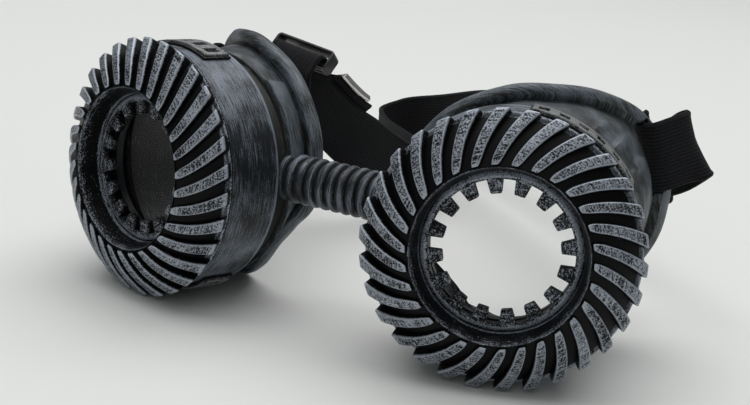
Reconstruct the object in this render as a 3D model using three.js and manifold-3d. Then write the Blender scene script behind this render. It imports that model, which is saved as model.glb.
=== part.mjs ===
// Steampunk costume goggles: two barrels faced with spiral bevel gears, a ribbed bridge and an elastic strap.
// Millimetres, +Z up, the gears facing -Y, standing on the gears, the cup rims and the strap's lower edge.
import * as THREE from "three";
import { mergeVertices } from "three/addons/utils/BufferGeometryUtils.js";
import Module from "manifold-3d";

const wasm = await Module();
wasm.setup();

// Driving dimensions

const clearance = 0.3; // between pieces that touch or fit

// Gear centre to gear centre, then degrees outward and upward
const stance = { spacing: 108, splay: 17.8, pitch: 2.7 };

const gear = {
  teeth: 30,
  heelRadius: 36,
  toeRadius: 23.2,
  faceDepth: 7.3, // how far the toes stand in front of the heels
  heelHeight: 2.7, // tooth height at the heel
  toeHeight: 1.2,
  landShare: 0.46, // of one tooth's pitch, on the tooth's top
  flankShare: 0.06, // of one tooth's pitch, on each flank
  spiral: 15, // degrees from toe to heel
  crown: 0.9, // how far the teeth bulge in the middle
  backInset: 1.4, // from the heels to the edge of the disc behind them
};

const bore = { frontRadius: 22.4, rearRadius: 20.6, shoulderDepth: -1.4 };

const spline = {
  teeth: 16,
  rootRadius: 18.2,
  tipRadius: 14.7,
  thickness: 2.2,
  frontDepth: -0.9,
  baseShare: 0.6, // of one tooth's pitch
  tipShare: 0.42,
  chamfer: 0.9,
};

const lens = { thickness: 1.6 };

const barrel = { radius: 33.5, wall: 2.9, length: 16.1, plate: 2.2, edge: 0.5 };

const pad = {
  from: 30.4, // degrees up from the temple side
  to: 86.6,
  front: 4.6, // behind the barrel's front
  length: 9.6,
  baseHeight: 0.65,
  topHeight: 0.65,
  step: 0.7, // the upper layer stands back by this much
  slots: 6,
  slotShare: 0.46, // of one slot's pitch
  slotMargin: 1.6,
  opposite: 180, // degrees from the upper pad to the lower one
  leftTurn: 22, // the left barrel is screwed on this much further
};

const cup = {
  neckInside: 4, // how far the neck reaches into the barrel
  neckGroove: 5.6, // between the barrel's rear edge and the cone
  coneStep: 1.6, // from the neck out to the cone
  coneLength: 7.6,
  wall: 2.1,
  flare: 5.1, // from the cone's start out to the rim's reach, which the outline's shares multiply
  sweep: 0.6, // how steeply the temple side falls back to follow the face
  sweepSoftness: 9,
  beadWidth: 4.4,
  beadFront: 0.6,
  beadDepth: 4.2,
  panelRise: 0.8,
  panelFrom: 128,
  panelTo: 232,
  leftRoll: 6, // degrees that the left cup is turned towards the temple
};

// The rim's outline seen from the front: degrees up from the temple side, and the share of cup.reach
const rimOutline = [
  { at: 6, share: 1.086 },
  { at: 24, share: 1.14 },
  { at: 44, share: 1.155 },
  { at: 62, share: 1.09 },
  { at: 80, share: 1.02 },
  { at: 101, share: 0.983 },
  { at: 130, share: 0.95 },
  { at: 163, share: 0.92 },
  { at: 195, share: 0.87 },
  { at: 215, share: 0.775 },
  { at: 235, share: 0.765 },
  { at: 254, share: 0.86 },
  { at: 272, share: 0.918 },
  { at: 305, share: 0.935 },
  { at: 345, share: 1.005 },
];

const strap = { width: 20, thickness: 1.6, steps: 96 };

// The strap's way through the rim: degrees up from the temple side, then millimetres
const slot = { at: 29, inset: 5, tilt: 20, edgePlay: 0.7, facePlay: 1.3 };

// The strap's loop round the rim's bar, in millimetres from the slot: outward, behind the rim's front, up.
// lean is how far the strap turns there, in degrees.
const strapLoop = [
  { outward: 6.6, behind: 9.2, up: 0, lean: 0 },
  { outward: 1.6, behind: 6.4, up: 0, lean: 0 },
  { outward: 0, behind: 2.2, up: 0, lean: 0 },
  { outward: 1.6, behind: -2.1, up: 0, lean: 0 },
  { outward: 7, behind: -2.8, up: 0, lean: 4 },
  { outward: 13.4, behind: -1.8, up: -0.5, lean: 10 },
  { outward: 15.4, behind: 2.2, up: -2, lean: 10 },
  { outward: 14.5, behind: 7, up: -5, lean: 0 },
  { outward: 12, behind: 12, up: -8, lean: -16 },
];

// How far each loop stands out and drops, as shares of the rows above
const loopShape = { left: { stretch: 0.7, drop: 0.6 }, right: { stretch: 1, drop: 1 } };

// The strap's free run on the table, from the left cup to the right one: its middle line, then the way its
// width points there
const strapRun = [
  { x: -63.5, y: 79, z: 44.5, wide: [0.5, -0.65, 0.55] },
  { x: -58.5, y: 81.5, z: 47, wide: [0.9, -0.35, 0.1] },
  { x: -58.3, y: 81.2, z: 53, wide: [0.97, -0.2, -0.1] },
  { x: -57.8, y: 85.8, z: 58, wide: [0.97, -0.17, -0.12] },
  { x: -57.8, y: 91, z: 54.4, wide: [0.97, -0.12, -0.07] },
  { x: -59, y: 92.8, z: 49.3, wide: [0.96, -0.05, 0.05] },
  { x: -57.3, y: 94.3, z: 43.3, wide: [0.9, 0, 0.3] },
  { x: -51.1, y: 99, z: 34.4, wide: [0.7, 0, 0.7] },
  { x: -44.4, y: 108, z: 25.6, wide: [0.2, 0, 0.98] },
  { x: -39, y: 121, z: 17, wide: [0.05, 0, 1] },
  { x: -34.3, y: 131, z: 11.5, wide: [0, 0, 1] },
  { x: -31.5, y: 139, z: 10, wide: [0, 0, 1] },
  { x: -38, y: 147, z: 10, wide: [0, 0, 1] },
  { x: -55, y: 161, z: 10, wide: [0, 0, 1] },
  { x: -70, y: 175, z: 10, wide: [0, 0, 1] },
  { x: -77, y: 186, z: 11, wide: [0, 0, 1] },
  { x: -71, y: 196, z: 13.5, wide: [0, 0, 1] },
  { x: -54, y: 191, z: 18.5, wide: [0, 0, 1] },
  { x: -26, y: 171, z: 28, wide: [0, 0, 1] },
  { x: 4, y: 145, z: 34, wide: [0, 0, 1] },
  { x: 36, y: 116, z: 37, wide: [0, 0, 1] },
  { x: 56, y: 98, z: 40.5, wide: [0, 0, 1] },
];

// Along the strap as shares of its length, then millimetres above its middle line
const tail = { from: 0.157, to: 0.217, above: 2.4 };
const adjuster = { from: 0.168, to: 0.21, bar: 1.4, sheet: 0.8, endShare: 0.008 };
const slider = { length: 5, border: 1, wall: 1.1, edgePlay: 0.5, facePlay: 1.5, leftAt: 0.144, rightAt: 0.888 };

const bridge = {
  radius: 6.8,
  boreRadius: 4.6,
  ribs: 12,
  pitch: 3.15,
  grooveShare: 0.36, // of the ribs' pitch
  grooveDepth: 1.3,
  behind: 17, // the gears' centres
  above: 1.4,
};

const sides = { turned: 36, tube: 12, bore: 24 }; // facets round each kind of turned piece

// Colours

function paint(color, roughness, metalness) {
  return new THREE.MeshStandardMaterial({ color, roughness, metalness });
}

const finish = {
  gear: paint(0x5d636b, 0.55, 0.25),
  barrel: paint(0x4b5057, 0.55, 0.25),
  cup: paint(0x54575a, 0.6, 0.15),
  pad: paint(0x8b8b88, 0.6, 0.1),
  lens: paint(0xe8ecee, 0.05, 0),
  strap: paint(0x18181a, 0.95, 0),
  plastic: paint(0x1d1d1f, 0.6, 0),
  metal: paint(0xc9ccd0, 0.25, 1),
};

// Working with closed meshes

function closed(source) {
  const geometry = source.index ? source.clone() : mergeVertices(source.clone());
  geometry.deleteAttribute("normal");
  geometry.deleteAttribute("uv");
  const merged = mergeVertices(geometry, 1e-3);
  const corners = merged.index.array;
  const points = merged.attributes.position;
  const kept = [];
  let volume = 0;
  const [a, b, c] = [new THREE.Vector3(), new THREE.Vector3(), new THREE.Vector3()];
  for (let k = 0; k < corners.length; k += 3) {
    const [p, q, r] = [corners[k], corners[k + 1], corners[k + 2]];
    if (p === q || q === r || r === p) continue;
    kept.push(p, q, r);
    a.fromBufferAttribute(points, p);
    b.fromBufferAttribute(points, q);
    c.fromBufferAttribute(points, r);
    volume += a.dot(b.cross(c));
  }
  if (volume < 0) kept.reverse();
  merged.setIndex(kept);
  return merged;
}

function toSolid(geometry) {
  const mesh = closed(geometry);
  return new wasm.Manifold(new wasm.Mesh({
    numProp: 3,
    vertProperties: new Float32Array(mesh.attributes.position.array),
    triVerts: new Uint32Array(mesh.index.array),
  }));
}

function toGeometry(solid) {
  const mesh = solid.getMesh();
  const geometry = new THREE.BufferGeometry();
  geometry.setAttribute("position", new THREE.BufferAttribute(new Float32Array(mesh.vertProperties), 3));
  geometry.setIndex([...mesh.triVerts]);
  return closed(geometry);
}

const cut = (geometry, ...tools) =>
  toGeometry(tools.reduce((solid, tool) => solid.subtract(toSolid(tool)), toSolid(geometry)));
const join = (geometry, ...others) =>
  toGeometry(others.reduce((solid, other) => solid.add(toSolid(other)), toSolid(geometry)));

// Turns a closed profile of { r, d } round the cup's axis, d behind the heels.
// shape gives each vertex its own { r, d, angle }, the angle in degrees up from the temple side.
function turned(profile, segments, shape = (point, angle) => ({ r: point.r, d: point.d, angle })) {
  const loop = [...profile, profile[0]];
  const outline = loop.map((point) => new THREE.Vector2(point.r, point.d));
  const geometry = new THREE.LatheGeometry(outline, segments);
  const positions = geometry.attributes.position;
  for (let i = 0; i <= segments; i++) {
    loop.forEach((point, j) => {
      const turn = i % segments;
      const placed = shape(point, (360 / segments) * turn, turn);
      const angle = THREE.MathUtils.degToRad(placed.angle);
      positions.setXYZ(i * loop.length + j, placed.r * Math.cos(angle), placed.d, placed.r * Math.sin(angle));
    });
  }
  return closed(geometry);
}

const beside = (frame, behind, above) =>
  frame.origin.clone().addScaledVector(frame.face, behind).addScaledVector(frame.width, above);

// Bends a box, long in X, along a curve: frameAt(share) gives { origin, width, face } for each step.
function ribbon(steps, width, thickness, frameAt) {
  const geometry = new THREE.BoxGeometry(1, thickness, width, steps, 1, 1);
  const positions = geometry.attributes.position;
  const point = new THREE.Vector3();
  for (let k = 0; k < positions.count; k++) {
    point.fromBufferAttribute(positions, k);
    const placed = beside(frameAt(point.x + 0.5), point.y, point.z);
    positions.setXYZ(k, placed.x, placed.y, placed.z);
  }
  return closed(geometry);
}

// A block bent round the cup's axis: degrees from and to, radii, depths
function arcBlock(from, to, inner, outer, front, rear, steps) {
  const geometry = new THREE.BoxGeometry(1, rear - front, outer - inner, steps, 1, 1);
  const positions = geometry.attributes.position;
  for (let k = 0; k < positions.count; k++) {
    const angle = THREE.MathUtils.degToRad(from + (to - from) * (positions.getX(k) + 0.5));
    const radius = (inner + outer) / 2 + positions.getZ(k);
    const depth = (front + rear) / 2 + positions.getY(k);
    positions.setXYZ(k, radius * Math.cos(angle), depth, radius * Math.sin(angle));
  }
  return closed(geometry);
}

// Depths that follow from the driving dimensions

const ringRear = spline.frontDepth + spline.thickness;
const ringRadius = bore.rearRadius - clearance;
const lensFront = ringRear + clearance;
const lensRear = lensFront + lens.thickness;
const gearRear = lensRear + clearance;
const barrelFront = gearRear + clearance;
const barrelRear = barrelFront + barrel.length;
const coneFront = barrelRear + cup.neckGroove;
const coneRear = coneFront + cup.coneLength;
const rimRear = coneRear + cup.beadDepth - cup.beadFront;

const neckRadius = barrel.radius - barrel.wall - clearance;
const coneRadius = neckRadius + cup.coneStep;
const rimRadius = coneRadius + cup.flare;

// The gear: lands, flanks and roots are the four vertices of each tooth

function gearRim() {
  const stations = [0, 0.5, 1];
  const slope = Math.atan2(gear.faceDepth, gear.heelRadius - gear.toeRadius);
  const face = stations.map((share) => {
    const height = THREE.MathUtils.lerp(gear.toeHeight, gear.heelHeight, share);
    const bulge = gear.crown * Math.sin(Math.PI * share);
    const r = THREE.MathUtils.lerp(gear.toeRadius, gear.heelRadius, share) + bulge * Math.sin(slope);
    const d = THREE.MathUtils.lerp(-gear.faceDepth, 0, share) - bulge * Math.cos(slope);
    const rootR = share < 1 ? r - height * Math.sin(slope) : gear.heelRadius - gear.heelHeight;
    return { r, d, share, rootR, rootD: d + height * Math.cos(slope) };
  });
  const backRadius = gear.heelRadius - gear.backInset;
  const heelBack = { r: backRadius, d: gearRear - 1, share: 1, rootR: backRadius - 0.8 };
  const profile = [
    { r: bore.frontRadius, d: -gear.faceDepth + 0.2, share: 0 },
    ...face,
    { ...heelBack, rootD: heelBack.d },
    { r: backRadius - 0.8, d: gearRear, share: 1 },
    { r: bore.rearRadius, d: gearRear, share: 0 },
    { r: bore.rearRadius, d: bore.shoulderDepth, share: 0 },
  ];
  const pitch = 360 / gear.teeth;
  const shares = [0, gear.landShare, gear.landShare + gear.flankShare, 1 - gear.flankShare];
  return turned(profile, gear.teeth * 4, (point, angle, turn) => {
    const onRoot = turn % 4 > 1 && point.rootR !== undefined;
    return {
      r: onRoot ? point.rootR : point.r,
      d: onRoot ? point.rootD : point.d,
      angle: (Math.floor(turn / 4) + shares[turn % 4]) * pitch - gear.spiral * point.share,
    };
  });
}

// The ring of square teeth that points inward, in the gear's bore

function splineRing() {
  const profile = [
    { r: spline.rootRadius, tip: spline.tipRadius, d: spline.frontDepth },
    { r: spline.rootRadius + spline.chamfer, d: spline.frontDepth },
    { r: ringRadius, d: spline.frontDepth + spline.chamfer },
    { r: ringRadius, d: ringRear },
    { r: spline.rootRadius, tip: spline.tipRadius, d: ringRear },
  ];
  const pitch = 360 / spline.teeth;
  const half = { base: spline.baseShare / 2, tip: spline.tipShare / 2 };
  const shares = [-half.base, -half.tip, half.tip, half.base];
  return turned(profile, spline.teeth * 4, (point, angle, turn) => {
    const atTip = turn % 4 === 1 || turn % 4 === 2;
    return {
      r: atTip && point.tip ? point.tip : point.r,
      d: point.d,
      angle: (Math.floor(turn / 4) + 0.5 + shares[turn % 4]) * pitch,
    };
  });
}

function lensDisc() {
  return turned([
    { r: 0, d: lensFront },
    { r: ringRadius, d: lensFront },
    { r: ringRadius, d: lensRear },
    { r: 0, d: lensRear },
  ], sides.bore);
}

function barrelTube() {
  const inner = barrel.radius - barrel.wall;
  return turned([
    { r: inner, d: barrelFront },
    { r: barrel.radius, d: barrelFront },
    { r: barrel.radius, d: barrelRear - barrel.edge },
    { r: barrel.radius - barrel.edge, d: barrelRear },
    { r: inner, d: barrelRear },
  ], sides.turned);
}

// The plate in the barrel's front, which carries the gear

function barrelPlate() {
  const outer = barrel.radius - barrel.wall - clearance;
  const hole = spline.rootRadius + clearance;
  return turned([
    { r: hole, d: barrelFront },
    { r: outer, d: barrelFront },
    { r: outer, d: barrelFront + barrel.plate },
    { r: hole, d: barrelFront + barrel.plate },
  ], sides.bore);
}

// A vent pad: two layers bent round the barrel, with a row of slots through the upper one

function ventPad(turn) {
  const [from, to] = [pad.from + turn, pad.to + turn];
  const base = barrel.radius + clearance;
  const middle = base + pad.baseHeight;
  const top = middle + pad.topHeight;
  const front = barrelFront + pad.front;
  const rear = front + pad.length;
  const stepAngle = THREE.MathUtils.radToDeg(pad.step / top);
  const steps = 6;
  const lower = arcBlock(from, to, base, middle, front, rear, steps);
  const [upperFrom, upperTo] = [from + stepAngle, to - stepAngle];
  const upper = arcBlock(upperFrom, upperTo, middle - 0.2, top, front + pad.step, rear - pad.step, steps);
  const slotPitch = (upperTo - upperFrom) / pad.slots;
  const slots = Array.from({ length: pad.slots }, (_, k) => {
    const centre = upperFrom + slotPitch * (k + 0.5);
    const half = (slotPitch * pad.slotShare) / 2;
    const [slotFront, slotRear] = [front + pad.slotMargin, rear - pad.slotMargin];
    return arcBlock(centre - half, centre + half, middle - 0.1, top + 1, slotFront, slotRear, 1);
  });
  return cut(join(lower, upper), ...slots);
}

// The eye cup: a neck, a cone that opens from a circle to the rim's outline, and a beaded rim

const outlineCurve = new THREE.CatmullRomCurve3(
  rimOutline.map(({ at, share }) => {
    const angle = THREE.MathUtils.degToRad(at);
    return new THREE.Vector3(share * Math.cos(angle), 0, share * Math.sin(angle));
  }), true, "catmullrom", 0.5);
const outlinePoints = outlineCurve.getPoints(rimOutline.length * 12);

function rimReach(degrees) {
  const angle = (point) => (THREE.MathUtils.radToDeg(Math.atan2(point.z, point.x)) + 360) % 360;
  const near = outlinePoints.map((point) => {
    const away = Math.abs(angle(point) - ((degrees + 360) % 360));
    return { point, away: Math.min(away, 360 - away) };
  }).sort((a, b) => a.away - b.away).slice(0, 2);
  const total = near[0].away + near[1].away || 1;
  const share = (near[0].point.length() * near[1].away + near[1].point.length() * near[0].away) / total;
  return rimRadius * share;
}

// How far the rim falls back, flat on the nose side and steeper towards the temple, and its slope there

function rimSweep(outward) {
  return (cup.sweep * (Math.hypot(outward, cup.sweepSoftness) + outward)) / 2;
}

function rimSlope(outward) {
  return (cup.sweep * (outward / Math.hypot(outward, cup.sweepSoftness) + 1)) / 2;
}

function hugged(point, degrees, rise = 0) {
  const r = rimReach(degrees) - point.inset + rise;
  return { r, d: point.d + rimSweep(r * Math.cos(THREE.MathUtils.degToRad(degrees))), angle: degrees };
}

function cupSection() {
  const inner = neckRadius - cup.wall;
  const groove = cup.beadWidth;
  return [
    { r: neckRadius, d: barrelRear - cup.neckInside, hug: 0 },
    { r: neckRadius, d: coneFront - 0.2, hug: 0 },
    { r: coneRadius, d: coneFront, hug: 0 },
    { inset: groove + 0.3, d: coneRear - 0.6, hug: 1, onPanel: true },
    { inset: groove, d: coneRear + 0.5, hug: 1 },
    { inset: groove - 1.2, d: coneRear - cup.beadFront, hug: 1 },
    { inset: 0.8, d: coneRear - cup.beadFront + 0.3, hug: 1 },
    { inset: 0, d: coneRear + 0.8, hug: 1 },
    { inset: 0.2, d: rimRear - 0.9, hug: 1 },
    { inset: 1.4, d: rimRear, hug: 1 },
    { inset: groove - 1, d: rimRear - 0.4, hug: 1 },
    { inset: groove + cup.wall, d: coneRear + 1.2, hug: 1 },
    { r: coneRadius - cup.wall, d: coneFront + 1.2, hug: 0 },
    { r: inner, d: coneFront - 0.8, hug: 0 },
    { r: inner, d: barrelRear - cup.neckInside, hug: 0 },
  ];
}

function cupBody() {
  return turned(cupSection(), sides.turned, (point, angle) => {
    const onPanel = point.onPanel && angle > cup.panelFrom && angle < cup.panelTo;
    return point.hug ? hugged(point, angle, onPanel ? cup.panelRise : 0) : { r: point.r, d: point.d, angle };
  });
}

// Where the strap's slot goes through the rim, in the cup's own frame

function slotFrame(side = 1) {
  const angle = THREE.MathUtils.degToRad(slot.at);
  const radius = rimReach(slot.at) - slot.inset;
  const [x, z] = [radius * Math.cos(angle), radius * Math.sin(angle)];
  const turn = new THREE.Matrix4()
    .makeRotationZ(Math.atan(rimSlope(x)))
    .multiply(new THREE.Matrix4().makeRotationY(-THREE.MathUtils.degToRad(slot.tilt)));
  const place = new THREE.Matrix4().makeTranslation(x, coneRear + rimSweep(x), z);
  return cupRoll(side).multiply(place).multiply(turn);
}

function cupRoll(side) {
  return new THREE.Matrix4().makeRotationY(side < 0 ? THREE.MathUtils.degToRad(cup.leftRoll) : 0);
}

function eyeCup(side) {
  const through = 16;
  const [width, length] = [strap.thickness + 2 * slot.facePlay, strap.width + 2 * slot.edgePlay];
  const opening = new THREE.BoxGeometry(width, through, length);
  return cut(cupBody(), opening.applyMatrix4(slotFrame())).applyMatrix4(cupRoll(side));
}

// The strap, in the frame of both cups, with z from the table

const heelHeight = gear.heelRadius * Math.cos(THREE.MathUtils.degToRad(stance.pitch));

function cupMatrix(side) {
  return new THREE.Matrix4()
    .makeTranslation((side * stance.spacing) / 2, 0, heelHeight)
    .multiply(new THREE.Matrix4().makeRotationZ(side * THREE.MathUtils.degToRad(stance.splay)))
    .multiply(new THREE.Matrix4().makeRotationX(-THREE.MathUtils.degToRad(stance.pitch)));
}

function loopPoints(side) {
  const { stretch, drop } = side < 0 ? loopShape.left : loopShape.right;
  const mirror = new THREE.Matrix4().makeScale(side, 1, 1);
  const place = cupMatrix(side).multiply(mirror).multiply(slotFrame(side));
  return strapLoop.map(({ outward, behind, up }) => {
    return new THREE.Vector3(outward * stretch, behind, up * drop).applyMatrix4(place);
  });
}

function loopWidths(side) {
  return strapLoop.map(({ lean }) => {
    const tilt = THREE.MathUtils.degToRad(lean);
    const along = new THREE.Vector3(-Math.sin(tilt), 0, Math.cos(tilt)).transformDirection(slotFrame(side));
    along.x *= side;
    return along.transformDirection(cupMatrix(side));
  });
}

function strapPath() {
  const left = loopPoints(-1);
  const right = loopPoints(1).reverse();
  const run = strapRun.map(({ x, y, z }) => new THREE.Vector3(x, y, z));
  const points = [...left, ...run, ...right];
  const runWidths = strapRun.map(({ wide }) => new THREE.Vector3(...wide));
  const widths = [...loopWidths(-1), ...runWidths, ...loopWidths(1).reverse()];
  const curve = new THREE.CatmullRomCurve3(points, false, "centripetal");
  const widthCurve = new THREE.CatmullRomCurve3(widths, false, "centripetal");
  curve.arcLengthDivisions = 1200;
  return (share) => {
    const inside = THREE.MathUtils.clamp(share, 0, 1);
    const along = curve.getTangentAt(inside);
    const width = widthCurve.getPoint(curve.getUtoTmapping(inside)).clone();
    width.addScaledVector(along, -width.dot(along)).normalize();
    return { origin: curve.getPointAt(inside), along, width, face: width.clone().cross(along).normalize() };
  };
}

const strapAt = strapPath();

function strapBand() {
  return ribbon(strap.steps, strap.width, strap.thickness, strapAt);
}

const tailBehind = strap.thickness + clearance;

// A strip beside the strap, between two shares of its length, behind and above its middle line

function strip({ from, to, behind, above }, width, thickness, steps) {
  return ribbon(steps, width, thickness, (share) => {
    const frame = strapAt(THREE.MathUtils.lerp(from, to, share));
    return { ...frame, origin: beside(frame, behind, above) };
  });
}

// The metal adjuster: two bars along the webbing's edges, joined by a plate across each end

function adjusterFrame() {
  const half = strap.width / 2 + clearance + adjuster.bar / 2;
  const barDepth = strap.thickness + clearance + adjuster.sheet;
  const barBehind = tailBehind + (barDepth - strap.thickness) / 2;
  const plateBehind = barBehind + (barDepth - adjuster.sheet) / 2;
  const bars = [half, -half].map((height) =>
    strip({ ...adjuster, behind: barBehind, above: tail.above + height }, adjuster.bar, barDepth, 5));
  const plates = [
    [adjuster.from, adjuster.from + adjuster.endShare],
    [adjuster.to - adjuster.endShare, adjuster.to],
  ].map(([from, to]) => {
    const place = { from, to, behind: plateBehind, above: tail.above };
    return strip(place, 2 * half + adjuster.bar / 2, adjuster.sheet, 1);
  });
  return join(bars[0], bars[1], ...plates);
}

// A moulded slider round the strap, at one share of its length

function keeper(at) {
  const frame = strapAt(at);
  const opening = { depth: strap.thickness + 2 * slider.facePlay, height: strap.width + 2 * slider.edgePlay };
  const [depth, height] = [opening.depth + 2 * slider.wall, opening.height + 2 * slider.border];
  const body = new THREE.BoxGeometry(slider.length, depth, height);
  const hole = new THREE.BoxGeometry(slider.length * 3, opening.depth, opening.height);
  const matrix = new THREE.Matrix4().makeBasis(frame.along, frame.face, frame.width);
  return cut(body, hole).applyMatrix4(matrix.setPosition(frame.origin));
}

// The bridge: a ribbed tube from one eye cup to the other, shaped to the surfaces that it meets

function bridgeTube(envelopes) {
  const half = (bridge.ribs * bridge.pitch) / 2;
  const points = [new THREE.Vector2(bridge.boreRadius, -half)];
  for (let k = 0; k < bridge.ribs; k++) {
    const start = -half + k * bridge.pitch;
    const groove = bridge.pitch * bridge.grooveShare;
    points.push(new THREE.Vector2(bridge.radius - bridge.grooveDepth, start));
    points.push(new THREE.Vector2(bridge.radius, start + groove * 0.5));
    points.push(new THREE.Vector2(bridge.radius, start + bridge.pitch - groove * 0.5));
  }
  points.push(new THREE.Vector2(bridge.radius - bridge.grooveDepth, half));
  points.push(new THREE.Vector2(bridge.boreRadius, half));
  points.push(points[0].clone());
  const tube = closed(new THREE.LatheGeometry(points, sides.tube));
  tube.rotateZ(Math.PI / 2);
  tube.translate(0, bridge.behind, heelHeight + bridge.above);
  return cut(tube, ...envelopes);
}

// The outside of one cup and barrel, grown by the clearance, for what meets them

function cupEnvelope(side) {
  const grown = [
    { r: 0, d: 0 },
    { r: barrel.radius + clearance, d: 0 },
    { r: barrel.radius + clearance, d: barrelRear + clearance },
    { r: neckRadius + clearance, d: barrelRear + clearance },
    { r: neckRadius + clearance, d: coneFront - clearance },
    { r: coneRadius + clearance, d: coneFront - clearance },
    { hug: 1, inset: cup.beadWidth - clearance, d: coneRear - 0.6 },
    { hug: 1, inset: -clearance, d: coneRear - cup.beadFront - clearance },
    { hug: 1, inset: -clearance, d: rimRear + clearance },
    { r: 0, d: rimRear + clearance },
  ];
  const envelope = turned(grown, sides.turned, (point, angle) => {
    const onCone = point.hug && point.inset > 0 && angle > cup.panelFrom && angle < cup.panelTo;
    return point.hug ? hugged(point, angle, onCone ? cup.panelRise : 0) : { r: point.r, d: point.d, angle };
  });
  return handed(envelope.applyMatrix4(cupRoll(side)), side).applyMatrix4(cupMatrix(side));
}

function handed(geometry, side) {
  return side > 0 ? geometry.clone() : closed(geometry.clone().scale(-1, 1, 1));
}

// Assembly

const goggles = new THREE.Group();
const standing = new THREE.Group();
goggles.add(standing);

function add(parent, name, geometry, material) {
  const mesh = new THREE.Mesh(geometry, material);
  mesh.name = name;
  parent.add(mesh);
}

const cupPieces = {
  gear_rim: [gearRim(), finish.gear],
  spline_ring: [splineRing(), finish.gear],
  lens: [lensDisc(), finish.lens],
  barrel: [barrelTube(), finish.barrel],
  barrel_plate: [barrelPlate(), finish.barrel],
};

for (const [label, side] of [["left", -1], ["right", 1]]) {
  const group = new THREE.Group();
  group.applyMatrix4(cupMatrix(side));
  for (const [name, [geometry, material]] of Object.entries(cupPieces)) {
    add(group, `${name}_${label}`, handed(geometry, side), material);
  }
  add(group, `eye_cup_${label}`, handed(eyeCup(side), side), finish.cup);
  const turn = side < 0 ? pad.leftTurn : 0;
  add(group, `vent_pad_top_${label}`, handed(ventPad(turn), side), finish.pad);
  add(group, `vent_pad_bottom_${label}`, handed(ventPad(turn + pad.opposite), side), finish.pad);
  standing.add(group);
}

add(standing, "bridge_tube", bridgeTube([cupEnvelope(-1), cupEnvelope(1)]), finish.gear);
add(standing, "strap", strapBand(), finish.strap);
const tailPlace = { ...tail, behind: tailBehind };
add(standing, "strap_tail", strip(tailPlace, strap.width, strap.thickness, 14), finish.strap);
add(standing, "slider_left", keeper(slider.leftAt), finish.plastic);
add(standing, "slider_right", keeper(slider.rightAt), finish.plastic);
add(standing, "adjuster", adjusterFrame(), finish.metal);

// The origin is on the table, under the middle of the whole

goggles.updateMatrixWorld(true);
const bounds = new THREE.Box3().setFromObject(goggles, true);
const middle = bounds.getCenter(new THREE.Vector3());
standing.position.set(-middle.x, -middle.y, -bounds.min.z);

export default goggles;
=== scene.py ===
import math

import bmesh
import bpy
from mathutils import Matrix, Vector


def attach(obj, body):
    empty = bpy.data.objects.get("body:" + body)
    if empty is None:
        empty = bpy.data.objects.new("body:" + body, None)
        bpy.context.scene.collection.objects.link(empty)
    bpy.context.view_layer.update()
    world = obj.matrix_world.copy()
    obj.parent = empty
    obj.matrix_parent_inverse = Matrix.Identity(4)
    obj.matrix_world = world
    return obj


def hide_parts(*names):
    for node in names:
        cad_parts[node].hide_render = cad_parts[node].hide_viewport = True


# Steampunk costume goggles on a pale table. Shapes are worked out in millimetres, in the cup's own
# frame (x to the temple, y behind the heels, z up) or on the table, and placed in metres.

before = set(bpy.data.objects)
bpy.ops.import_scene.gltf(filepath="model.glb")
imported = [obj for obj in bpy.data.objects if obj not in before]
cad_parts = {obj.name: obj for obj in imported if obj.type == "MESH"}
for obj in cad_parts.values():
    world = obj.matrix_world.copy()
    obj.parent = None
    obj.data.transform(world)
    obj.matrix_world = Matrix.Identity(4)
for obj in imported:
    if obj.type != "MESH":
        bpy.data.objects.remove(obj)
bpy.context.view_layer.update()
print("frame loaded")

mm = 0.001
origin = Vector((0, -91.8333, 0.1266))  # the goggles' own frame on the table, in mm
stance = {"spacing": 108.0, "splay": 17.8, "pitch": 2.7}
heelHeight = 36.0 * math.cos(math.radians(stance["pitch"]))
sides = {"left": -1, "right": 1}


# Placing

def cupMatrix(side):  # from the cup's frame to the table, in mm, the left cup mirrored
    place = Matrix.Translation((side * stance["spacing"] / 2, 0, heelHeight))
    place = place @ Matrix.Rotation(side * math.radians(stance["splay"]), 4, "Z")
    place = place @ Matrix.Rotation(-math.radians(stance["pitch"]), 4, "X")
    return place @ Matrix.Diagonal((side, 1, 1, 1))


def tableMatrix():
    return Matrix.Scale(mm, 4) @ Matrix.Translation(origin)


def finishMesh(bm, name, place, material, sharpFrom=35):
    bmesh.ops.transform(bm, matrix=place, verts=bm.verts)
    if place.to_3x3().determinant() < 0:
        bmesh.ops.reverse_faces(bm, faces=bm.faces)
    mesh = bpy.data.meshes.new(name)
    bm.to_mesh(mesh)
    bm.free()
    piece = bpy.data.objects.new(name, mesh)
    bpy.context.scene.collection.objects.link(piece)
    mesh.materials.append(material)
    mesh.shade_smooth()
    mesh.set_sharp_from_angle(angle=math.radians(sharpFrom))
    return piece


def settle(piece, slot, *nodes):  # stands for its CAD nodes on the one body
    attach(piece, "root")
    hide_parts(*nodes)


# Shaping

def spinProfile(points, steps, axis=(0, 1, 0)):
    bm = bmesh.new()
    verts = [bm.verts.new((r, d, 0) if axis[1] else (d, r, 0)) for r, d in points]
    edges = [bm.edges.new((verts[k - 1], verts[k])) for k in range(len(verts))]
    bmesh.ops.spin(bm, geom=verts + edges, cent=(0, 0, 0), axis=axis, dvec=(0, 0, 0),
                   angle=math.tau, steps=steps, use_merge=True, use_normal_flip=False, use_duplicate=False)
    bmesh.ops.remove_doubles(bm, verts=bm.verts, dist=0.001)
    bmesh.ops.recalc_face_normals(bm, faces=bm.faces)
    return bm


def spinCopies(bm, count, axis=(0, 1, 0)):
    bmesh.ops.spin(bm, geom=bm.verts[:] + bm.edges[:] + bm.faces[:], cent=(0, 0, 0), axis=axis,
                   dvec=(0, 0, 0), angle=math.tau * (count - 1) / count, steps=count - 1,
                   use_merge=False, use_normal_flip=False, use_duplicate=True)


def bevelEdges(bm, edges, reach, segments, clamp=False):
    bmesh.ops.bevel(bm, geom=edges, offset=reach, offset_type="OFFSET", segments=segments,
                    profile=0.5, affect="EDGES", material=-1, clamp_overlap=clamp)


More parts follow.
